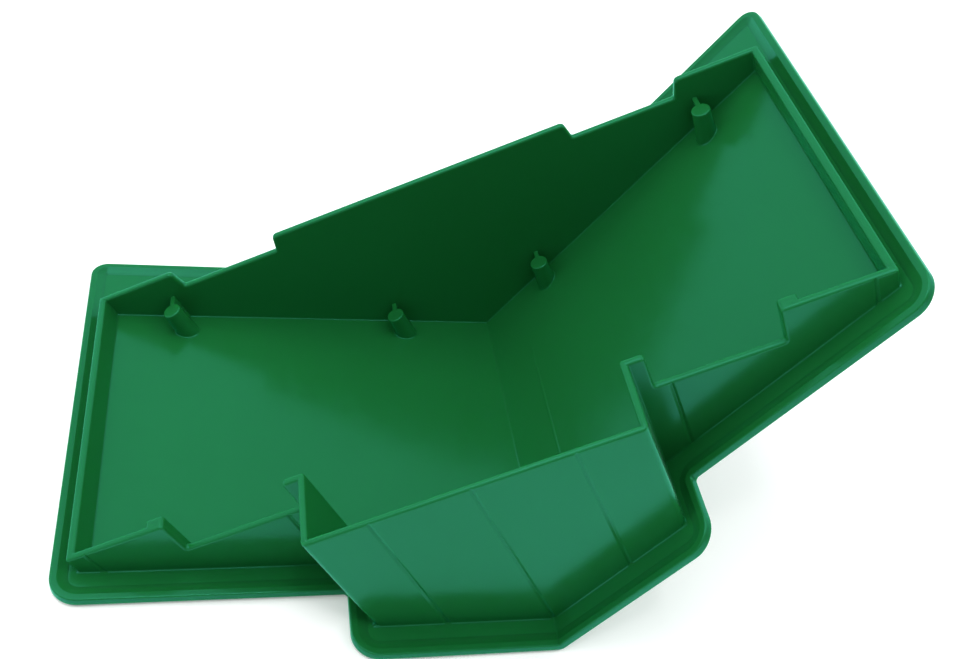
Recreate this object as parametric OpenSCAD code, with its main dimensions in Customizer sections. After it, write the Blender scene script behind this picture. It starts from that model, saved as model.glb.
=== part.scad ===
// Toy log-cabin roof, one green plastic moulding, lying upside down on its left slope.
// The roof's own frame: X across from eave to eave, Y along the ridge (front is -Y, back is +Y),
// Z up into the open underside, with the inner ridge line at x = 0, z = 0.
// place() then turns that frame so that the left slope lies flat, and puts the origin at the
// centre of the base of the bounding box.

/* [Roof] */
// Distance between the outer faces of the two eave walls
wall_span = 200; // [180:1:240]
// Distance between the outer faces of the front and back gable walls
gable_span = 90.6; // [80:0.1:120]
// Pitch of each slope in degrees
pitch = 30; // [25:1:35]
// Height of the eave walls on their inner side
eave_wall_h = 6.6; // [4:0.1:12]

/* [Panels] */
// Thickness of each sloping panel
panel_t = 1.5; // [1.2:0.1:3]
// How far each panel runs past its eave wall, along the slope
eave_overhang = 6.3; // [4:0.1:12]
// How far each panel runs past the front gable wall and the bay's front wall
front_overhang = 8.2; // [5:0.1:14]
// How far each panel runs past the back gable wall
back_overhang = 19.6; // [8:0.1:30]
// How far each panel runs past the bay's side walls, along the slope
bay_side_overhang = 5.7; // [4:0.1:10]
// Radius of the panels' front corners and of the bay's corners
corner_r = 7; // [3:0.5:10]
// Radius of the panels' back corners
back_corner_r = 5; // [3:0.5:10]
// Radius where the bay's edge turns into the panel's front edge
inner_corner_r = 1; // [1:0.5:5]
// Width of the raised rim along the panel edges, at its foot
rim_w = 4.2; // [2:0.1:4.5]
// Width of the rim's flat top
rim_top_w = 1.6; // [1:0.1:2]
// Height of the raised rim
rim_h = 1; // [0.5:0.1:2]

/* [Walls] */
// Thickness of the eave walls
eave_wall_t = 2.2; // [1.5:0.1:3]
// Thickness of the gable walls
gable_wall_t = 2; // [1.5:0.1:3]
// Thickness of the bay's walls
bay_wall_t = 1.7; // [1.5:0.1:3]
// Width of the moulded planks
plank_w = 23.7; // [15:0.1:30]
// Width of the groove between two planks
plank_groove_w = 0.8; // [0.4:0.1:1.2]

/* [Bay] */
// Half width of the bay over its side walls
bay_half_w = 39.7; // [30:0.1:42]
// How far the bay stands out from the front gable wall
bay_depth = 18; // [10:0.5:30]

/* [Notches] */
// Distance from the centre to the outer side of each front notch
front_notch_out = 74.2; // [60:0.1:85]
// Distance from the centre to the inner side of each front notch
front_notch_in = 43.6; // [42.5:0.1:50]
// Depth of the front notches
front_notch_d = 10.9; // [6:0.1:14]
// Width of the rib behind the outer side of each front notch
notch_rib_w = 4.5; // [2:0.1:8]
// How far the notch ribs stand out behind the front gable wall
notch_rib_t = 1.8; // [1:0.1:3]
// Distance from the centre to the outer side of each back notch
back_notch_out = 76.3; // [60:0.1:85]
// Distance from the centre to the inner side of each back notch
back_notch_in = 44.2; // [35:0.1:50]
// Depth of the back notches
back_notch_d = 5.8; // [4:0.1:12]
// How much each side of a back notch leans in towards its floor
back_notch_lean = 1.3; // [0:0.1:2]
// How much lower the back gable's middle tab is than its end tabs
back_tab_drop = 0.6; // [0:0.1:2]

/* [Posts] */
// Distance from the centre to the outer posts
outer_post_x = 80.3; // [60:0.1:85]
// Distance from the centre to the inner posts
inner_post_x = 23.4; // [10:0.1:40]
// Distance from the outer posts' axes to the inner face of the back gable wall
outer_post_gap = 6; // [4:0.1:10]
// Distance from the inner posts' axes to the inner face of the back gable wall
inner_post_gap = 5; // [4:0.1:10]
// Depth of the outer posts' tops below the open edge
outer_post_drop = 7.6; // [5:0.1:15]
// Depth of the inner posts' tops below the open edge
inner_post_drop = 41.1; // [30:0.1:45]
// Radius of a post at its top
post_r = 2.6; // [1.5:0.1:3]
// Radius of a post at its foot
post_foot_r = 3; // [2:0.1:3.5]
// Thickness of the web between each post and the back gable wall
web_t = 1.4; // [1:0.1:2.5]

/* [Shingles] */
// Number of shingle courses on each slope
courses = 10; // [6:1:14]
// Width of one shingle along the ridge
shingle_w = 13.35; // [10:0.05:20]
// Gap between neighbouring shingles
shingle_gap = 1; // [0.6:0.1:2]
// Height of a shingle's lower edge above the panel
shingle_butt_h = 0.7; // [0.4:0.1:1.5]
// Height of a shingle's upper edge above the panel
shingle_top_h = 0.2; // [0.1:0.1:0.3]
// Smooth strip beside the ridge, along each slope
ridge_strip_w = 4.5; // [2:0.5:10]
// Smooth strip along the gable ends
gable_strip_w = 1.2; // [1:0.1:5]

/* [Hidden] */
$fn = 48;
// Half of the distance over the eave walls
half_w = wall_span / 2;
// Height of the open edge above the inner ridge line
open_z = eave_wall_h + (half_w - eave_wall_t) * tan(pitch);
// Slope lengths from the ridge to the eave walls' outer face, the panel's edge and the bay's edge
wall_s = half_w / cos(pitch);
panel_s = wall_s + eave_overhang;
bay_s = bay_half_w / cos(pitch) + bay_side_overhang;
// Front and back limits of the panels
front_y = -front_overhang;
bay_y = -bay_depth - front_overhang;
back_y = gable_span + back_overhang;
// Shingle field: slope length of one course, and its lower end at the eave wall's outer face
course_s = (wall_s - ridge_strip_w) / courses;
// A cutter's length past every face of the roof
reach = 300;
// How far a panel's outline runs past the ridge before it is trimmed there
past_ridge = 20;
// How far a post starts below the slope before it is trimmed there
below_slope = 4;
// Least distance from a plank groove to the end of its wall
groove_margin = 1.5;
// Small overlap that lets a cutter pass through a face
eps = 0.01;
// Depth of the panels and shingles below the left slope's inner face
lift = panel_t + shingle_butt_h;
// Sideways limits of the lying roof: its left edge and the right panel's outer corner
lying_left = -panel_s;
lying_right = panel_s * cos(2 * pitch) + panel_t * sin(2 * pitch);
// Colour of the moulding
plastic = [0.02, 0.5, 0.2];

// Turns the roof's own frame into the lying one
module place() {
    color(plastic)
    translate([-(lying_left + lying_right) / 2, -(bay_y + back_y) / 2, lift])
    rotate([0, -pitch, 0])
    children();
}

// Puts (slope length, y, height above the inner face) onto the right slope, or the left one
module on_slope(side) {
    mirror([side < 0 ? 1 : 0, 0, 0])
    rotate([0, -pitch, 0])
    children();
}

// Keeps only the half of the roof that belongs to one slope
module half_of_roof(side) {
    difference() {
        children();
        translate([side < 0 ? 0 : -reach, -reach, -reach]) cube([reach, 2 * reach, 2 * reach]);
    }
}

// What a round corner of radius r leaves out of a square one; the corner itself is at the origin
module corner_waste(r) {
    difference() {
        translate([-r, -r]) square([r + eps, r + eps]);
        translate([-r, -r]) circle(r);
    }
}

// Outline of one panel in (slope length, y), drawn in by an even inset all round
module panel_outline(inset) {
    s1 = panel_s - inset;
    s2 = bay_s - inset;
    y1 = front_y + inset;
    y2 = bay_y + inset;
    y3 = back_y - inset;
    r = corner_r - inset;
    ri = inner_corner_r + inset;
    difference() {
        union() {
            translate([-past_ridge, y1]) square([s1 + past_ridge, y3 - y1]);
            translate([-past_ridge, y2]) square([s2 + past_ridge, y1 - y2 + eps]);
            translate([s2, y1]) mirror([1, 0]) corner_waste(ri);
        }
        translate([s1, y3]) corner_waste(back_corner_r - inset);
        translate([s1, y1]) mirror([0, 1]) corner_waste(r);
        translate([s2, y2]) mirror([0, 1]) corner_waste(r);
    }
}

// A wall across the roof: an outline in (x, z) from y to y + thickness
module cross_wall(y, thickness, outline) {
    translate([0, y + thickness, 0]) rotate([90, 0, 0]) linear_extrude(thickness) polygon(outline);
}

// Height of the slopes' inner faces at a distance x from the centre
function slope_z(x) = abs(x) * tan(pitch);

// One sloping panel
module panel(side) {
    half_of_roof(side)
    on_slope(side)
    translate([0, 0, -panel_t]) linear_extrude(panel_t) panel_outline(0);
}

// Cross-section of the rim in (inset, height)
function rim_profile() = [[0, 0], [rim_w, 0], [rim_top_w, rim_h], [0, rim_h]];

// The same in (radius, height) round a corner of radius r; inward is 1 where the panel is inside the arc
function turned_profile(r, inward) = [for (p = rim_profile()) [r - inward * p[0], p[1]]];

// A straight piece of rim that starts at a point of the panel's outline and runs in one direction
module rim_run(start, direction, length) {
    translate(start) rotate(direction) rotate([90, 0, 90]) linear_extrude(length) polygon(rim_profile());
}

// A quarter turn of rim; inward is 1 round a corner of the panel and -1 round the bay's inner corner
module rim_turn(centre, from, r, inward) {
    translate(centre) rotate(from) rotate_extrude(angle = 90) polygon(turned_profile(r, inward));
}

// The raised rim along one panel's edges: level on top, with a sloping inner side
module rim(side) {
    r = corner_r;
    rb = back_corner_r;
    ri = inner_corner_r;
    half_of_roof(side)
    on_slope(side)
    union() {
        rim_run([-past_ridge, bay_y], 0, past_ridge + bay_s - r);
        rim_turn([bay_s - r, bay_y + r], -90, r, 1);
        rim_run([bay_s, bay_y + r], 90, front_y - ri - bay_y - r);
        rim_turn([bay_s + ri, front_y - ri], 90, ri, -1);
        rim_run([bay_s + ri, front_y], 0, panel_s - r - bay_s - ri);
        rim_turn([panel_s - r, front_y + r], -90, r, 1);
        rim_run([panel_s, front_y + r], 90, back_y - front_y - r - rb);
        rim_turn([panel_s - rb, back_y - rb], 0, rb, 1);
        rim_run([panel_s - rb, back_y], 180, panel_s - rb + past_ridge);
    }
}

// Saw-tooth profile of the shingle courses in (slope length, depth below the panel)
function course_profile() = concat(
    [[ridge_strip_w, 0]],
    [for (i = [0 : courses - 1]) each [
        [ridge_strip_w + i * course_s, -shingle_top_h],
        [ridge_strip_w + (i + 1) * course_s, -shingle_butt_h]]],
    [[wall_s, 0]]);

// The moulded shingles on the outside of one slope
module shingles(side) {
    field_y = back_y - bay_y;
    on_slope(side)
    translate([0, 0, -panel_t])
    difference() {
        intersection() {
            translate([0, back_y, 0]) rotate([90, 0, 0]) linear_extrude(field_y) polygon(course_profile());
            translate([0, 0, -2 * shingle_butt_h])
            linear_extrude(3 * shingle_butt_h) panel_outline(gable_strip_w);
        }
        for (i = [0 : courses - 1]) shingle_joints(i);
    }
}

// The gaps between the shingles of one course; every other course is moved by half a shingle
module shingle_joints(course) {
    shift = (course % 2) * shingle_w / 2;
    first = ceil((bay_y - shift) / shingle_w);
    last = floor((back_y - shift) / shingle_w);
    for (j = [first : last])
        translate([ridge_strip_w + course * course_s, j * shingle_w + shift - shingle_gap / 2, -reach])
        cube([course_s, shingle_gap, 2 * reach]);
}

// Grooves between the planks on a wall's outer face at height y, for x from x1 to x2
module plank_grooves(y, x1, x2) {
    half_n = floor(half_w / plank_w);
    for (i = [-half_n : half_n])
        if (i * plank_w > x1 + groove_margin && i * plank_w < x2 - groove_margin)
            translate([i * plank_w, y, -eps]) rotate(45)
            translate([-plank_groove_w / 2, -plank_groove_w / 2, 0])
            cube([plank_groove_w, plank_groove_w, reach]);
}

// The back gable wall with its stepped open edge
module back_wall() {
    floor_z = open_z - back_notch_d;
    right = [
        [half_w, slope_z(half_w)], [half_w, open_z], [back_notch_out, open_z],
        [back_notch_out - back_notch_lean, floor_z], [back_notch_in + back_notch_lean, floor_z],
        [back_notch_in, open_z - back_tab_drop]];
    left = [for (i = [len(right) - 1 : -1 : 0]) [-right[i][0], right[i][1]]];
    difference() {
        cross_wall(gable_span - gable_wall_t, gable_wall_t, concat([[0, 0]], right, left));
        plank_grooves(gable_span, -half_w, half_w);
    }
}

// The part of the front gable wall beside the bay, with its notch. Its planks are grooved beside the
// bay and beside the eave, and are smooth in between.
module front_wall(side) {
    floor_z = open_z - front_notch_d;
    notch_middle = (front_notch_in + front_notch_out) / 2;
    difference() {
        cross_wall(0, gable_wall_t, [
            [side * half_w, slope_z(half_w)], [side * half_w, open_z],
            [side * front_notch_out, open_z], [side * front_notch_out, floor_z],
            [side * front_notch_in, floor_z], [side * front_notch_in, open_z],
            [side * bay_half_w, open_z], [side * bay_half_w, slope_z(bay_half_w)]]);
        for (x = [[bay_half_w, notch_middle], [front_notch_out, half_w]])
            plank_grooves(0, side < 0 ? -x[1] : x[0], side < 0 ? -x[0] : x[1]);
    }
}

// The low wall along one eave
module eave_wall(side) {
    inner = half_w - eave_wall_t;
    cross_wall(gable_wall_t, gable_span - 2 * gable_wall_t, [
        [side * half_w, slope_z(half_w)], [side * half_w, open_z],
        [side * inner, open_z], [side * inner, slope_z(inner)]]);
}

// The bay's planked front wall
module bay_front() {
    difference() {
        cross_wall(-bay_depth, bay_wall_t, [
            [0, 0], [bay_half_w, slope_z(bay_half_w)], [bay_half_w, open_z],
            [-bay_half_w, open_z], [-bay_half_w, slope_z(bay_half_w)]]);
        plank_grooves(-bay_depth, -bay_half_w, bay_half_w);
    }
}

// One side wall of the bay, from its front wall to the back of the front gable wall
module bay_side(side) {
    inner = bay_half_w - bay_wall_t;
    cross_wall(-bay_depth + bay_wall_t, bay_depth - bay_wall_t + gable_wall_t, [
        [side * bay_half_w, slope_z(bay_half_w)], [side * bay_half_w, open_z],
        [side * inner, open_z], [side * inner, slope_z(inner)]]);
}

// The rib behind the front gable wall along the outer side of its notch
module notch_rib(side) {
    inner = front_notch_out;
    outer = front_notch_out + notch_rib_w;
    cross_wall(gable_wall_t, notch_rib_t, [
        [side * outer, slope_z(outer)], [side * outer, open_z],
        [side * inner, open_z], [side * inner, slope_z(inner)]]);
}

// The solid cone of a post, from a little below the slope up to its flat top
module post_cone(x, gap, drop) {
    top_z = open_z - drop;
    foot_z = slope_z(x) - below_slope;
    translate([x, gable_span - gable_wall_t - gap, foot_z])
    cylinder(h = top_z - foot_z, r1 = post_foot_r, r2 = post_r);
}

// Keeps only what stands on the inner face of the slope under x
module above_slope(x) {
    difference() {
        children();
        on_slope(x) translate([-reach, -reach, -reach]) cube([2 * reach, 2 * reach, reach]);
    }
}

// A tapered, flat-topped post on the slope
module post(x, gap, drop) {
    above_slope(x) post_cone(x, gap, drop);
}

// The web that ties a post to the back gable wall, level with the post's top
module web(x, gap, drop) {
    foot_z = slope_z(x) - below_slope;
    above_slope(x)
    difference() {
        translate([x - web_t / 2, gable_span - gable_wall_t - gap, foot_z])
        cube([web_t, gap, open_z - drop - foot_z]);
        post_cone(x, gap, drop);
    }
}

module left_slope() { place() panel(-1); }
module right_slope() { place() panel(1); }
module left_rim() { place() rim(-1); }
module right_rim() { place() rim(1); }
module left_shingles() { place() shingles(-1); }
module right_shingles() { place() shingles(1); }
module back_gable() { place() back_wall(); }
module front_gable_left() { place() front_wall(-1); }
module front_gable_right() { place() front_wall(1); }
module left_eave_wall() { place() eave_wall(-1); }
module right_eave_wall() { place() eave_wall(1); }
module bay_front_wall() { place() bay_front(); }
module bay_left_wall() { place() bay_side(-1); }
module bay_right_wall() { place() bay_side(1); }
module left_notch_rib() { place() notch_rib(-1); }
module right_notch_rib() { place() notch_rib(1); }
module left_outer_post() { place() post(-outer_post_x, outer_post_gap, outer_post_drop); }
module left_inner_post() { place() post(-inner_post_x, inner_post_gap, inner_post_drop); }
module right_inner_post() { place() post(inner_post_x, inner_post_gap, inner_post_drop); }
module right_outer_post() { place() post(outer_post_x, outer_post_gap, outer_post_drop); }
module left_outer_web() { place() web(-outer_post_x, outer_post_gap, outer_post_drop); }
module left_inner_web() { place() web(-inner_post_x, inner_post_gap, inner_post_drop); }
module right_inner_web() { place() web(inner_post_x, inner_post_gap, inner_post_drop); }
module right_outer_web() { place() web(outer_post_x, outer_post_gap, outer_post_drop); }

left_slope();
right_slope();
left_rim();
right_rim();
left_shingles();
right_shingles();
back_gable();
front_gable_left();
front_gable_right();
left_eave_wall();
right_eave_wall();
bay_front_wall();
bay_left_wall();
bay_right_wall();
left_notch_rib();
right_notch_rib();
left_outer_post();
left_inner_post();
right_inner_post();
right_outer_post();
left_outer_web();
left_inner_web();
right_inner_web();
right_outer_web();
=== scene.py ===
"""A toy log cabin's roof, moulded in glossy green plastic, lying open side up on its left slope."""

import math

import bmesh
import bpy
from mathutils import Matrix, Vector


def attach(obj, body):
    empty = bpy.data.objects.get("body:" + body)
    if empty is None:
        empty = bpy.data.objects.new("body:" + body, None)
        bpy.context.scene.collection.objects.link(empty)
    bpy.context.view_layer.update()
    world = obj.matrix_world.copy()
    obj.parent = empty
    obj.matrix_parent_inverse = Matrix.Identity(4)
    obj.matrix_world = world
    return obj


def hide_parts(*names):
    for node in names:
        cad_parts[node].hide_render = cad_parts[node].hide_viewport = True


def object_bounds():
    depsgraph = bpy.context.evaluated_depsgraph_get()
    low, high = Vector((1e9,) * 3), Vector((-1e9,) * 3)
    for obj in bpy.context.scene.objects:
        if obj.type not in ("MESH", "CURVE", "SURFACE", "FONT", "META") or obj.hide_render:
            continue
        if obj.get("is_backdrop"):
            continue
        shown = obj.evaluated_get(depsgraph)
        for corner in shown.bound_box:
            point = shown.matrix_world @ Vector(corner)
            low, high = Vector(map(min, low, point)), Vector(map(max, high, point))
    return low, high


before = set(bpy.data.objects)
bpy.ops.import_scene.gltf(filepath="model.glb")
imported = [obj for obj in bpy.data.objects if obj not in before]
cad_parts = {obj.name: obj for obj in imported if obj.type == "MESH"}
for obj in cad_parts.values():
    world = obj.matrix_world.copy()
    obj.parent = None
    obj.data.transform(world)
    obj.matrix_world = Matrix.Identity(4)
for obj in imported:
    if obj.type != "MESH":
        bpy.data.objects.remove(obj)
CAD_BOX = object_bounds()

# ---------------------------------------------------------------- dimensions
# Millimetres, in the roof's own frame: X across from eave to eave, Y along the ridge, front -Y,
# Z up into the open underside, with the inner ridge line at x = 0, z = 0. They repeat the CAD's.
WALL_SPAN = 200
GABLE_SPAN = 90.6
PITCH = math.radians(30)
EAVE_WALL_H = 6.6
PANEL_T = 1.5
EAVE_OVERHANG = 6.3
FRONT_OVERHANG = 8.2
BACK_OVERHANG = 19.6
BAY_SIDE_OVERHANG = 5.7
CORNER_R = 7
BACK_CORNER_R = 5
INNER_CORNER_R = 1
RIM_W = 4.2
RIM_TOP_W = 1.6
RIM_H = 1
EAVE_WALL_T = 2.2
GABLE_WALL_T = 2
BAY_WALL_T = 1.7
PLANK_W = 23.7
BAY_HALF_W = 39.7
BAY_DEPTH = 18
FRONT_NOTCH = (43.6, 74.2)
FRONT_NOTCH_D = 10.9
NOTCH_RIB_W = 4.5
NOTCH_RIB_T = 1.8
BACK_NOTCH = (44.2, 76.3)
BACK_NOTCH_D = 5.8
BACK_NOTCH_LEAN = 1.3
BACK_TAB_DROP = 0.6
# Each post: distance from the centre, from its axis to the back gable, and of its top below the open edge
OUTER_POST = (80.3, 6, 7.6)
INNER_POST = (23.4, 5, 41.1)
POST_R = 2.6
POST_FOOT_R = 3
WEB_T = 1.4
COURSES = 10
SHINGLE_W = 13.35
SHINGLE_GAP = 1
SHINGLE_BUTT_H = 0.7
SHINGLE_TOP_H = 0.2
RIDGE_STRIP_W = 4.5
GABLE_STRIP_W = 1.2

# Sizes that only the looks need: radii, and the number of steps in an arc
TOP_EDGE_R = 0.75
BAY_EDGE_R = 1.5
FOOT_R = 0.35
TAB_CORNER_R = 1.5
NOTCH_CORNER_R = 0.7
PANEL_EDGE_R = 0.5
VALLEY_R = 0.7
ARC_STEPS = 12
ROUND_STEPS = 4

# Worked out from the sizes above. Names that end in _S are lengths along a slope, from the ridge.
HALF_W = WALL_SPAN / 2
OPEN_Z = EAVE_WALL_H + (HALF_W - EAVE_WALL_T) * math.tan(PITCH)
WALL_S = HALF_W / math.cos(PITCH)
PANEL_S = WALL_S + EAVE_OVERHANG
BAY_S = BAY_HALF_W / math.cos(PITCH) + BAY_SIDE_OVERHANG
FRONT_Y = -FRONT_OVERHANG
BAY_Y = -BAY_DEPTH - FRONT_OVERHANG
BACK_Y = GABLE_SPAN + BACK_OVERHANG
COURSE_S = (WALL_S - RIDGE_STRIP_W) / COURSES
BEND_S = VALLEY_R * math.tan(PITCH)
# Further than any face of the roof, a little past a face, and a distance that counts as none
REACH = 200
PAST = 2
NONE = 0.01
# A Mix node's colour inputs and output
MIX_FIRST, MIX_SECOND, MIXED = 6, 7, 2

# The roof's own frame, turned to lie on its left slope with its box centred over the origin
CAD_LOW, CAD_HIGH = CAD_BOX
MM = 0.001
RIDGE_AT = Vector((CAD_LOW.x / MM + PANEL_S, CAD_HIGH.y / MM - BACK_Y, PANEL_T + SHINGLE_BUTT_H))
PLACE = Matrix.Scale(MM, 4) @ Matrix.Translation(RIDGE_AT) @ Matrix.Rotation(-PITCH, 4, "Y")


# ---------------------------------------------------------------- mesh tools
def new_object(name, bm):
    """Puts a mesh in the scene, with its faces turned outward."""
    bmesh.ops.recalc_face_normals(bm, faces=bm.faces)
    mesh = bpy.data.meshes.new(name)
    bm.to_mesh(mesh)
    bm.free()
    obj = bpy.data.objects.new(name, mesh)
    bpy.context.scene.collection.objects.link(obj)
    return obj


def loft(bm, rings):
    """A closed skin over rings of vertices, with a cap on the first ring and on the last."""
    bm.faces.new(rings[0])
    bm.faces.new(rings[-1])
    for a, b in zip(rings, rings[1:]):
        for i in range(len(a)):
            j = (i + 1) % len(a)
            bm.faces.new((a[i], b[i], b[j], a[j]))


def prism(name, outline, low, high, axis="Z"):
    """A closed prism: an outline in the plane across the axis, Y or Z, from low to high along it."""
    bm = bmesh.new()
    rings = []
    for level in (low, high):
        if axis == "Z":
            rings.append([bm.verts.new((u, v, level)) for u, v in outline])
        else:
            rings.append([bm.verts.new((u, level, v)) for u, v in outline])
    loft(bm, rings)
    return new_object(name, bm)


def block(name, low, high):
    """A box between two opposite corners."""
    outline = [(low[0], low[1]), (high[0], low[1]), (high[0], high[1]), (low[0], high[1])]
    return prism(name, outline, low[2], high[2])


def joined(name, objects):
    """One object out of several that don't touch each other."""
    bm = bmesh.new()
    for obj in objects:
        bm.from_mesh(obj.data)
        bpy.data.objects.remove(obj)
    return new_object(name, bm)


def apply_modifiers(obj):
    graph = bpy.context.evaluated_depsgraph_get()
    mesh = bpy.data.meshes.new_from_object(obj.evaluated_get(graph))
    obj.modifiers.clear()
    obj.data = mesh


def combine(target, tool, operation):
    """An exact boolean of target with tool. The tool is used up."""
    boolean = target.modifiers.new("combine", "BOOLEAN")
    boolean.operation = operation
    boolean.solver = "EXACT"
    boolean.object = tool
    apply_modifiers(target)
    bpy.data.objects.remove(tool)
    return target


def copy_of(obj, name):
    twin = bpy.data.objects.new(name, obj.data.copy())
    bpy.context.scene.collection.objects.link(twin)
    return twin


def edit(obj, change):
    """Runs change(bm) on the object's mesh."""
    bm = bmesh.new()
    bm.from_mesh(obj.data)
    change(bm)
    bm.to_mesh(obj.data)
    bm.free()
    return obj


def merge_flat(bm):
    """Merges the faces that lie in one plane."""
    flat = math.radians(0.3)
    bmesh.ops.dissolve_limit(bm, angle_limit=flat, verts=bm.verts, edges=bm.edges)


def arc(centre, radius, start, end, steps):
    """Points on an arc, with both ends. Angles are in degrees."""
    points = []
    for i in range(steps + 1):
        a = math.radians(start + (end - start) * i / steps)
        points.append((centre[0] + radius * math.cos(a), centre[1] + radius * math.sin(a)))
    return points


# ---------------------------------------------------------------- slopes
def panel_path(inset):
    """The panel's edge from the ridge's front end round to its back end, as (slope length, y)."""
    r = CORNER_R - inset
    ri = INNER_CORNER_R + inset
    bay = (BAY_S - CORNER_R, BAY_Y + CORNER_R)
    inner = (BAY_S + INNER_CORNER_R, FRONT_Y - INNER_CORNER_R)
    front = (PANEL_S - CORNER_R, FRONT_Y + CORNER_R)
    back = (PANEL_S - BACK_CORNER_R, BACK_Y - BACK_CORNER_R)
    path = [(0, BAY_Y + inset)]
    path += arc(bay, r, -90, 0, ARC_STEPS)
    path += arc(inner, ri, 180, 90, ARC_STEPS)
    path += arc(front, r, -90, 0, ARC_STEPS)
    path += arc(back, BACK_CORNER_R - inset, 0, 90, ARC_STEPS)
    path.append((0, BACK_Y - inset))
    return path


def edge_profile():
    """The panel's rounded outer edge as (inset, height above the inner face), from the outer face up."""
    r = PANEL_EDGE_R
    low = arc((r, r - PANEL_T), r, -90, -180, ROUND_STEPS)
    return low + [(0, 0)]


def rim_profile():
    """The rim from its outer foot over its rounded top and down its hollow inner side."""
    outer_r = 0.4
    inner_r = 0.3
    sag = 0.12
    steps = 8
    least = 0.01
    outer = arc((outer_r, RIM_H - outer_r), outer_r, 180, 90, ROUND_STEPS)
    tilt = math.degrees(math.atan2(RIM_H, RIM_W - RIM_TOP_W))
    inner = arc((RIM_TOP_W, RIM_H - inner_r), inner_r, 90, 90 - tilt, ROUND_STEPS)
    across, up = inner[-1]
    side = []
    for i in range(1, steps):
        t = i / steps
        height = up * (1 - t) - sag * math.sin(math.pi * t)
        side.append((across + (RIM_W - across) * t, max(height, least)))
    return [(0, 0)] + outer + inner + side + [(RIM_W, 0)]


def swept(bm, profile):
    """Lofts a profile along the panel's edge and returns its rings of vertices."""
    rings = []
    for inset, height in profile:
        rings.append([bm.verts.new((s, y, height)) for s, y in panel_path(inset)])
    for a, b in zip(rings, rings[1:]):
        for i in range(len(a) - 1):
            bm.faces.new((a[i], a[i + 1], b[i + 1], b[i]))
    return rings


def flat_panel():
    """One slope laid out flat as (slope length, y, height above its inner face)."""
    bm = bmesh.new()
    rings = swept(bm, edge_profile())
    bm.faces.new(rings[0])
    bm.faces.new(rings[-1])
    bm.faces.new([r[0] for r in rings] + [r[-1] for r in reversed(rings)])
    return bm


def flat_rim():
    """One slope's rim, laid out flat in the same way."""
    bm = bmesh.new()
    rings = swept(bm, rim_profile())
    for i in range(len(rings[0]) - 1):
        bm.faces.new((rings[0][i], rings[0][i + 1], rings[-1][i + 1], rings[-1][i]))
    for end in (0, -1):
        bm.faces.new([r[end] for r in rings])
    return bm


def fold(point):
    """Takes (slope length, y, height) to the roof's own frame, round the small bend along the ridge."""
    s, y, h = point
    if s >= BEND_S:
        x = s * math.cos(PITCH) - h * math.sin(PITCH)
        return Vector((x, y, s * math.sin(PITCH) + h * math.cos(PITCH)))
    turn = PITCH * s / BEND_S
    r = VALLEY_R - h
    return Vector((r * math.sin(turn), y, VALLEY_R / math.cos(PITCH) - r * math.cos(turn)))


def fold_to(bm, side):
    """Folds a flat mesh into place on the right slope (side 1) or the left one (side -1)."""
    for v in bm.verts:
        v.co = fold(v.co)
        v.co.x *= side


def folded(name, bm, side):
    """A slope piece folded into place, with edges cut where it bends along the ridge."""
    for k in range(1, ROUND_STEPS + 1):
        geometry = bm.verts[:] + bm.edges[:] + bm.faces[:]
        cut = (BEND_S * k / ROUND_STEPS, 0, 0)
        bmesh.ops.bisect_plane(bm, geom=geometry, plane_co=cut, plane_no=(1, 0, 0))
    fold_to(bm, side)
    return new_object(name, bm)


def witness_line(name):
    """The faint raised line that the mould left along the right slope, lower towards both ends."""
    from_ridge, half_w = 13, 0.5
    y0, y1 = 4, 66
    foot, lip, least, rise = -0.4, 0.004, 0.01, 0.15
    fullness = 0.7
    steps = 10
    middle = from_ridge / math.cos(PITCH)
    left, right = middle - half_w, middle + half_w
    bm = bmesh.new()
    rings = []
    for i in range(steps + 1):
        t = i / steps
        crest = least + rise * math.sin(math.pi * t) ** fullness
        y = y0 + (y1 - y0) * t
        outline = [(left, foot), (right, foot), (right, lip), (middle, crest), (left, lip)]
        rings.append([bm.verts.new(fold((s, y, h))) for s, h in outline])
    loft(bm, rings)
    return new_object(name, bm)


# ---------------------------------------------------------------- shingles
def flat_shingles():
    """Wedge-shaped shingles in courses, every other course moved by half a shingle."""
    sink = 0.3
    slit = 0.02
    inner = -PANEL_T + sink
    top = -PANEL_T - SHINGLE_TOP_H
    butt = -PANEL_T - SHINGLE_BUTT_H
    bm = bmesh.new()
    for course in range(COURSES):
        s0 = RIDGE_STRIP_W + course * COURSE_S + slit
        s1 = RIDGE_STRIP_W + (course + 1) * COURSE_S
        shift = (course % 2) * SHINGLE_W / 2
        first = math.floor((BAY_Y - shift) / SHINGLE_W)
        last = math.ceil((BACK_Y - shift) / SHINGLE_W)
        for j in range(first, last):
            y0 = j * SHINGLE_W + shift + SHINGLE_GAP / 2
            y1 = y0 + SHINGLE_W - SHINGLE_GAP
            wedge = [(s0, inner), (s1, inner), (s1, butt), (s0, top)]
            loft(bm, [[bm.verts.new((s, y, h)) for s, h in wedge] for y in (y0, y1)])
    return bm


def shingles(name, side):
    """One slope's shingles, cut off in line with the panel's edge, with worn edges."""
    field = prism("field", panel_path(GABLE_STRIP_W), -2 * PANEL_T, PANEL_T)
    tiles = combine(new_object(name, flat_shingles()), field, "INTERSECT")

    def round_and_fold(bm):
        merge_flat(bm)
        top = -PANEL_T - SHINGLE_TOP_H / 2
        edges = [e for e in bm.edges if min(v.co.z for v in e.verts) < top]
        worn = 0.16
        bmesh.ops.bevel(bm, geom=edges, offset=worn, segments=2, profile=0.5, affect="EDGES")
        fold_to(bm, side)
        bmesh.ops.recalc_face_normals(bm, faces=bm.faces)

    return edit(tiles, round_and_fold)


# ---------------------------------------------------------------- walls
def slope_z(x):
    """The height of the slopes' inner faces at x."""
    return abs(x) * math.tan(PITCH)


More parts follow.
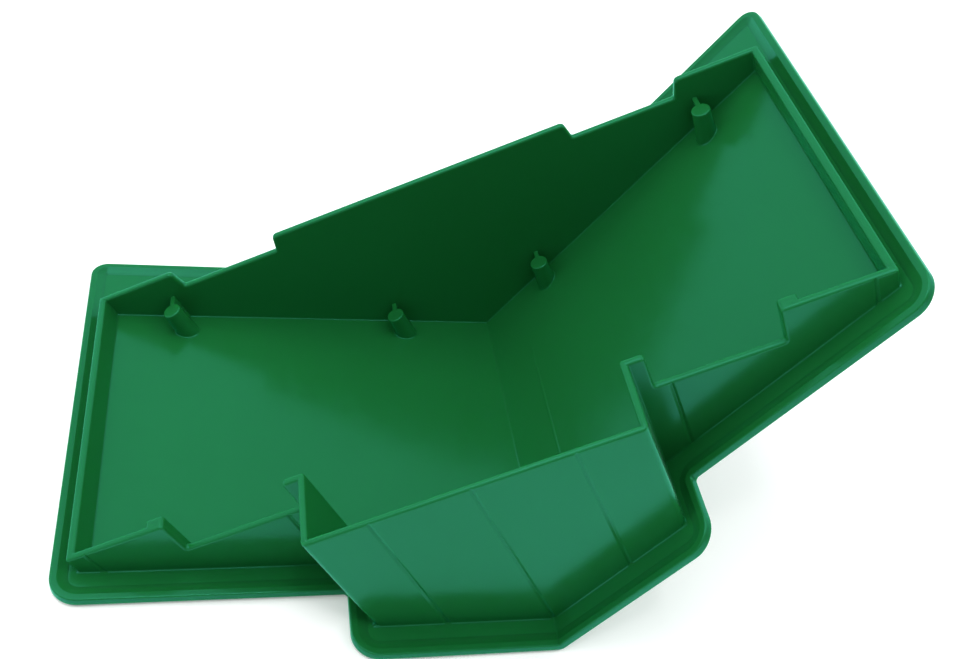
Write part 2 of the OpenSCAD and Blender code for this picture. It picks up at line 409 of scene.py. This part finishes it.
def rounded(points):
    """An outline from (x, z, corner radius) points, with an arc in place of every corner with a radius."""
    outline = []
    count = len(points)
    for i, (x, z, r) in enumerate(points):
        corner = Vector((x, z))
        before = (Vector(points[i - 1][:2]) - corner).normalized()
        after = (Vector(points[(i + 1) % count][:2]) - corner).normalized()
        if r == 0:
            outline.append((x, z))
            continue
        half = before.angle(after) / 2
        centre = corner + (before + after).normalized() * r / math.sin(half)
        start = corner + before * r / math.tan(half) - centre
        end = corner + after * r / math.tan(half) - centre
        sweep = start.angle_signed(end)
        for k in range(ROUND_STEPS + 1):
            a = -sweep * k / ROUND_STEPS
            outline.append(tuple(centre + Matrix.Rotation(a, 2) @ start))
    return outline


def notch_cutters():
    """What the notches take out of the gable walls, with the tabs' corners rounded."""
    cutters = []
    over = OPEN_Z + PAST
    lip = 1
    tab = TAB_CORNER_R
    inside = NOTCH_CORNER_R
    aside = 4
    inner, outer = FRONT_NOTCH
    seat = OPEN_Z - FRONT_NOTCH_D
    for side in (-1, 1):
        points = [
            (inner, seat, inside), (outer, seat, inside),
            (outer, OPEN_Z, lip), (outer + aside, OPEN_Z, 0), (outer + aside, over, 0),
            (inner - PAST, over, 0), (inner - PAST, OPEN_Z, 0), (inner, OPEN_Z, lip)]
        outline = rounded([(side * x, z, r) for x, z, r in points])
        cutters.append(prism("cutter", outline, -PAST, GABLE_WALL_T + NOTCH_RIB_T + PAST, "Y"))
    inner, outer = BACK_NOTCH
    seat = OPEN_Z - BACK_NOTCH_D
    lean = BACK_NOTCH_LEAN
    right = [
        (inner, OPEN_Z - BACK_TAB_DROP, tab), (inner + lean, seat, inside), (outer - lean, seat, inside),
        (outer, OPEN_Z, tab), (outer + aside, OPEN_Z, 0), (outer + aside, over, 0)]
    left = [(-x, z, r) for x, z, r in reversed(right)]
    near, far = GABLE_SPAN - GABLE_WALL_T - PAST, GABLE_SPAN + PAST
    cutters.append(prism("cutter", rounded(left + right), near, far, "Y"))
    return joined("cutters", cutters)


def groove_cutters():
    """V-shaped grooves between the planks, on the outer faces. Beside the front notches there are none."""
    half_w, lift, depth = 0.75, 0.03, 0.3
    right = [(half_w, lift), (0.62, -0.01), (0.12, -0.27), (0, -depth)]
    profile = [(-across, out) for across, out in right] + right[-2::-1]
    notch_middle = sum(FRONT_NOTCH) / 2
    cutters = []
    count = int(HALF_W // PLANK_W)
    for i in range(-count, count + 1):
        x = i * PLANK_W
        faces = [(GABLE_SPAN, 1)]
        if abs(x) < BAY_HALF_W:
            faces.append((-BAY_DEPTH, -1))
        elif not notch_middle < abs(x) < FRONT_NOTCH[1]:
            faces.append((0, -1))
        for y, outward in faces:
            outline = [(x + across, y + outward * out) for across, out in profile]
            outline += [(x + half_w, y + outward), (x - half_w, y + outward)]
            cutters.append(prism("cutter", outline, -PAST, OPEN_Z + PAST))
    return joined("cutters", cutters)


def above_slopes():
    """The space above the slopes' inner faces, a hair clear of them."""
    clear = 0.004
    top = OPEN_Z + PAST
    wide = (top - clear) / math.tan(PITCH)
    return prism("above", [(0, clear), (wide, top), (-wide, top)], -REACH, REACH, "Y")


def on_walls(point):
    """Whether a point of the shell is on the walls, and not on the outside of the slab below them."""
    return abs(point.x) < HALF_W + PAST and -BAY_DEPTH - PAST < point.y < GABLE_SPAN + PAST


def edge_radius(e):
    """Concave edges get a fillet. The bay's upright outer edges are rounder than the other convex ones."""
    if not e.is_convex:
        return FOOT_R
    a, b = (v.co for v in e.verts)
    upright = abs(a.x - b.x) < NONE and abs(a.y - b.y) < NONE
    at_bay_corner = abs(a.x) > BAY_HALF_W - NONE and a.y < NONE - BAY_DEPTH
    return BAY_EDGE_R if upright and at_bay_corner else TOP_EDGE_R


def round_edges(obj):
    """Rounds the walls' outer edges and fillets their feet and inner corners."""
    least_angle = math.radians(35)

    def weigh(bm):
        merge_flat(bm)
        weight = bm.edges.layers.float.new("bevel_weight_edge")
        for e in bm.edges:
            a, b = (v.co for v in e.verts)
            ridge = abs(a.x) + abs(b.x) < NONE
            if on_walls(a) and on_walls(b) and not ridge and e.calc_face_angle(0) > least_angle:
                e[weight] = edge_radius(e) / BAY_EDGE_R

    edit(obj, weigh)
    bevel = obj.modifiers.new("round", "BEVEL")
    bevel.width = BAY_EDGE_R
    bevel.segments = ROUND_STEPS
    bevel.limit_method = "WEIGHT"
    bevel.use_clamp_overlap = False
    apply_modifiers(obj)


def inside_plan():
    """The outline of the space between the walls, with the notch ribs left standing."""
    x0 = HALF_W - EAVE_WALL_T
    x1 = FRONT_NOTCH[1] + NOTCH_RIB_W
    x2 = FRONT_NOTCH[1]
    x3 = BAY_HALF_W - BAY_WALL_T
    y0 = GABLE_SPAN - GABLE_WALL_T
    y1 = GABLE_WALL_T
    y2 = GABLE_WALL_T + NOTCH_RIB_T
    y3 = -BAY_DEPTH + BAY_WALL_T
    right = [(x3, y3), (x3, y1), (x2, y1), (x2, y2), (x1, y2), (x1, y1), (x0, y1), (x0, y0)]
    return right + [(-x, y) for x, y in reversed(right)]


def wall_shell():
    """All the walls with rounded edges and filleted feet, as one mesh that the named walls are cut from.

    A slab with the slopes' inner faces joins in while the edges are rounded, and is cut off again.
    """
    right = [(BAY_HALF_W, -BAY_DEPTH), (BAY_HALF_W, 0), (HALF_W, 0), (HALF_W, GABLE_SPAN)]
    outline = right + [(-x, y) for x, y in reversed(right)]
    foot = -5
    margin = 20
    shell = prism("walls", outline, foot, OPEN_Z)
    combine(shell, prism("inside", inside_plan(), -margin, OPEN_Z + PAST), "DIFFERENCE")
    combine(shell, notch_cutters(), "DIFFERENCE")
    wide = HALF_W + margin
    slab = [(0, 0), (wide, slope_z(wide)), (wide, -margin), (-wide, -margin), (-wide, slope_z(wide))]
    combine(shell, prism("slab", slab, BAY_Y - margin, BACK_Y + margin, "Y"), "UNION")
    round_edges(shell)
    combine(shell, groove_cutters(), "DIFFERENCE")
    return combine(shell, above_slopes(), "INTERSECT")


def wall_regions():
    """The box that each named wall is cut out of the shell with. Fillets go with the gables and the bay."""
    spare = 0.15
    corner = FOOT_R + spare
    eave = HALF_W - EAVE_WALL_T - corner
    front, back = GABLE_WALL_T + corner, GABLE_SPAN - GABLE_WALL_T - corner
    bay_in, bay_out = BAY_HALF_W - BAY_WALL_T - corner, BAY_HALF_W + corner
    bay_front = -BAY_DEPTH + BAY_WALL_T + corner
    rib_in, rib_out = FRONT_NOTCH[1] - corner, FRONT_NOTCH[1] + NOTCH_RIB_W + corner
    rib_back = front + NOTCH_RIB_T
    low, high = -PAST, OPEN_Z + PAST
    far = HALF_W + PAST
    return {
        "back_gable": ((-far, back, low), (far, GABLE_SPAN + PAST, high)),
        "left_eave_wall": ((-far, front, low), (-eave, back, high)),
        "right_eave_wall": ((eave, front, low), (far, back, high)),
        "front_gable_left": ((-far, -PAST, low), (-bay_out, front, high)),
        "front_gable_right": ((bay_out, -PAST, low), (far, front, high)),
        "left_notch_rib": ((-rib_out, front, low), (-rib_in, rib_back, high)),
        "right_notch_rib": ((rib_in, front, low), (rib_out, rib_back, high)),
        "bay_left_wall": ((-bay_out, bay_front, low), (-bay_in, front, high)),
        "bay_right_wall": ((bay_in, bay_front, low), (bay_out, front, high)),
        "bay_front_wall": ((-bay_out, -BAY_DEPTH - PAST, low), (bay_out, bay_front, high)),
    }


# ---------------------------------------------------------------- posts
def post(name, side, size):
    """A tapered post with a rounded top edge and a small fillet round its foot, which follows the slope."""
    out, gap, drop = size
    x0, y0 = side * out, GABLE_SPAN - GABLE_WALL_T - gap
    top = OPEN_Z - drop
    height = top - slope_z(out)
    taper = (POST_FOOT_R - POST_R) / height
    fillet = 0.4
    edge_r = 0.35
    sides = 48
    sink = 0.3
    bm = bmesh.new()
    rings = []

    def ring(radius, level):
        verts = []
        for i in range(sides):
            a = 2 * math.pi * i / sides
            x, y = x0 + radius * math.cos(a), y0 + radius * math.sin(a)
            verts.append(bm.verts.new((x, y, level(x))))
        rings.append(verts)

    ring(POST_FOOT_R + fillet, lambda x: slope_z(x) - sink)
    for spread, rise in arc((fillet, fillet), fillet, 270, 180, ARC_STEPS // 2):
        ring(POST_FOOT_R - taper * rise + spread, lambda x, rise=rise: slope_z(x) + rise)
    for out_by, up_by in arc((-edge_r, -edge_r), edge_r, 0, 90, ROUND_STEPS):
        ring(POST_R + out_by, lambda x, up_by=up_by: top + up_by)
    loft(bm, rings)
    return new_object(name, bm)


def web(name, side, size):
    """The web between a post and the back gable, with rounded upper edges. Its ends run into both."""
    out, gap, drop = size
    x0 = side * out
    y1 = GABLE_SPAN - GABLE_WALL_T
    y0 = y1 - gap + POST_R / 2
    edge_r = 0.3
    sink = 0.3
    into_gable = 0.2
    below_post = 0.02
    top = OPEN_Z - drop - below_post
    left, right = x0 - WEB_T / 2, x0 + WEB_T / 2
    outline = [(left, slope_z(left) - sink), (right, slope_z(right) - sink)]
    outline += arc((right - edge_r, top - edge_r), edge_r, 0, 90, ROUND_STEPS)
    outline += arc((left + edge_r, top - edge_r), edge_r, 90, 180, ROUND_STEPS)
    return prism(name, outline, y0, y1 + into_gable, "Y")


# ---------------------------------------------------------------- material
def link(tree, a, out, b, into):
    """Joins an output of node a to an input of node b."""
    tree.links.new(a.outputs[out], b.inputs[into])


def new_node(tree, kind, **values):
    """A new shader node. Each value goes to the input of that name, with _ for a space."""
    node = tree.nodes.new(kind)
    for name, value in values.items():
        node.inputs[name.replace("_", " ")].default_value = value
    return node


def colour_mix(tree, source, out, first, second):
    """A mix of two colours by another node's output. The mixed colour is output MIXED."""
    mix = tree.nodes.new("ShaderNodeMix")
    mix.data_type = "RGBA"
    mix.inputs[MIX_FIRST].default_value = first
    mix.inputs[MIX_SECOND].default_value = second
    link(tree, source, out, mix, 0)
    return mix


def green_plastic(name):
    """Glossy green plastic. Its reflections take its colour, and turn paler where they are glancing."""
    material = bpy.data.materials.new(name)
    material.use_nodes = True
    tree = material.node_tree
    place = new_node(tree, "ShaderNodeTexCoord")

    # The plastic itself, a little uneven in colour, with some light carried under its surface
    shader = tree.nodes["Principled BSDF"]
    shader.inputs["Roughness"].default_value = 0.5
    shader.inputs["Specular IOR Level"].default_value = 0
    shader.inputs["Subsurface Weight"].default_value = 0.3
    shader.inputs["Subsurface Radius"].default_value = (0.25, 1.0, 0.3)
    shader.inputs["Subsurface Scale"].default_value = 0.003
    cloud = new_node(tree, "ShaderNodeTexNoise", Scale=18, Detail=3)
    link(tree, place, "Object", cloud, "Vector")
    tint = colour_mix(tree, cloud, "Fac", (0.0066, 0.108, 0.0225, 1), (0.0078, 0.127, 0.0270, 1))
    link(tree, tint, MIXED, shader, "Base Color")

    # A fine grain in its gloss and its surface
    gloss = new_node(tree, "ShaderNodeBsdfGlossy")
    grain = new_node(tree, "ShaderNodeTexNoise", Scale=260, Detail=4)
    link(tree, place, "Object", grain, "Vector")
    rough = new_node(tree, "ShaderNodeMapRange", From_Min=0.3, From_Max=0.7, To_Min=0.17, To_Max=0.25)
    link(tree, grain, "Fac", rough, "Value")
    link(tree, rough, "Result", gloss, "Roughness")
    bump = new_node(tree, "ShaderNodeBump", Strength=0.05, Distance=0.0004)
    link(tree, grain, "Fac", bump, "Height")
    fresnel = new_node(tree, "ShaderNodeFresnel", IOR=1.5)
    for node in (shader, gloss, fresnel):
        link(tree, bump, "Normal", node, "Normal")

    # The colour of its reflections, and how much of them shows
    grazing = new_node(tree, "ShaderNodeMapRange", From_Min=0.12, From_Max=0.5)
    link(tree, fresnel, "Fac", grazing, "Value")
    sheen = colour_mix(tree, grazing, "Result", (0.15, 0.90, 0.75, 1), (0.30, 0.88, 0.66, 1))
    link(tree, sheen, MIXED, gloss, "Color")
    coat = new_node(tree, "ShaderNodeMixShader")
    link(tree, fresnel, "Fac", coat, 0)
    link(tree, shader, "BSDF", coat, 1)
    link(tree, gloss, "BSDF", coat, 2)
    link(tree, coat, "Shader", tree.nodes["Material Output"], "Surface")
    return material


# ---------------------------------------------------------------- assembly
def present(obj, material, *nodes):
    """Smooths the piece, puts it in place and makes it stand for its CAD nodes."""
    sharp_angle = math.radians(42)
    obj.data.transform(PLACE)

    def sharpen(bm):
        for e in bm.edges:
            e.smooth = e.calc_face_angle(0) < sharp_angle
        for f in bm.faces:
            f.smooth = True

    edit(obj, sharpen)
    weighted = obj.modifiers.new("even_shading", "WEIGHTED_NORMAL")
    weighted.keep_sharp = True
    obj.data.materials.clear()
    obj.data.materials.append(material)
    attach(obj, "root")
    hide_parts(*nodes)


plastic = green_plastic("green_plastic")
for side, name in ((-1, "left"), (1, "right")):
    slope = folded(f"{name}_slope_moulding", flat_panel(), side)
    if side > 0:
        combine(slope, witness_line("line"), "UNION")
    present(slope, plastic, f"{name}_slope")
    present(folded(f"{name}_rim_moulding", flat_rim(), side), plastic, f"{name}_rim")
    present(shingles(f"{name}_shingle_courses", side), plastic, f"{name}_shingles")
    for place, size in (("outer", OUTER_POST), ("inner", INNER_POST)):
        present(post(f"{name}_{place}_post_moulding", side, size), plastic, f"{name}_{place}_post")
        present(web(f"{name}_{place}_web_moulding", side, size), plastic, f"{name}_{place}_web")

shell = wall_shell()
for node, (low, high) in wall_regions().items():
    piece = combine(copy_of(shell, f"{node}_moulding"), block("region", low, high), "INTERSECT")
    present(piece, plastic, node)
bpy.data.objects.remove(shell)


# ---------------------------------------------------------------- floor, light and camera
def floor():
    """A wide pale floor."""
    size = 20
    bm = bmesh.new()
    bmesh.ops.create_grid(bm, x_segments=1, y_segments=1, size=size)
    obj = new_object("floor", bm)
    material = bpy.data.materials.new("pale_floor")
    material.use_nodes = True
    shader = material.node_tree.nodes["Principled BSDF"]
    shader.inputs["Base Color"].default_value = (0.92, 0.92, 0.92, 1)
    shader.inputs["Roughness"].default_value = 0.7
    shader.inputs["Emission Color"].default_value = (1, 1, 1, 1)
    shader.inputs["Emission Strength"].default_value = 0.16
    obj.data.materials.append(material)
    obj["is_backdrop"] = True


def area_light(name, at, size, power):
    """A square lamp that faces the middle of the roof."""
    target = Vector((0, 0, 0.03))
    light = bpy.data.lights.new(name, "AREA")
    light.size = size
    light.energy = power
    obj = bpy.data.objects.new(name, light)
    obj.location = at
    obj.rotation_euler = (target - Vector(at)).to_track_quat("-Z", "Y").to_euler()
    bpy.context.scene.collection.objects.link(obj)


def camera():
    """Stands where the photo was taken from."""
    data = bpy.data.cameras.new("camera")
    data.sensor_width = 36
    data.lens = 40.32
    data.clip_start = 0.01
    obj = bpy.data.objects.new("camera", data)
    stand = Matrix.Translation((-0.054371, -0.193344, 0.236502))
    right = Vector((0.97125, -0.15462, 0.18101)).normalized()
    ahead = Vector((0.23728, 0.69028, -0.68353))
    ahead = (ahead - right * ahead.dot(right)).normalized()
    up = right.cross(ahead)
    turn = Matrix((right, up, -ahead)).transposed()
    obj.matrix_world = stand @ turn.to_4x4()
    bpy.context.scene.collection.objects.link(obj)
    bpy.context.scene.camera = obj


def surroundings():
    """A white studio, brightest behind and above the roof and dimmest in front of it."""
    brightest = (-0.1, 0.85, 0.5)
    world = bpy.data.worlds.new("studio")
    world.use_nodes = True
    tree = world.node_tree
    background = tree.nodes["Background"]
    background.inputs["Color"].default_value = (0.96, 0.99, 1.0, 1)
    place = new_node(tree, "ShaderNodeTexCoord")
    toward = tree.nodes.new("ShaderNodeVectorMath")
    toward.operation = "DOT_PRODUCT"
    toward.inputs[1].default_value = brightest
    link(tree, place, "Generated", toward, 0)
    fade = new_node(tree, "ShaderNodeMapRange", From_Min=-0.6, From_Max=0.55, To_Min=0.36, To_Max=1.25)
    fade.interpolation_type = "SMOOTHSTEP"
    link(tree, toward, "Value", fade, "Value")
    link(tree, fade, "Result", background, "Strength")
    bpy.context.scene.world = world
    bpy.context.scene.view_settings.view_transform = "Standard"


floor()
surroundings()
area_light("overhead", (-0.42, 0.1, 1.02), 0.9, 5.3)
area_light("right", (0.75, -0.2, 1.0), 0.6, 2.6)
area_light("lamp", (-0.05, -0.32, 1.05), 0.1, 1.1)
camera()

low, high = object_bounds()
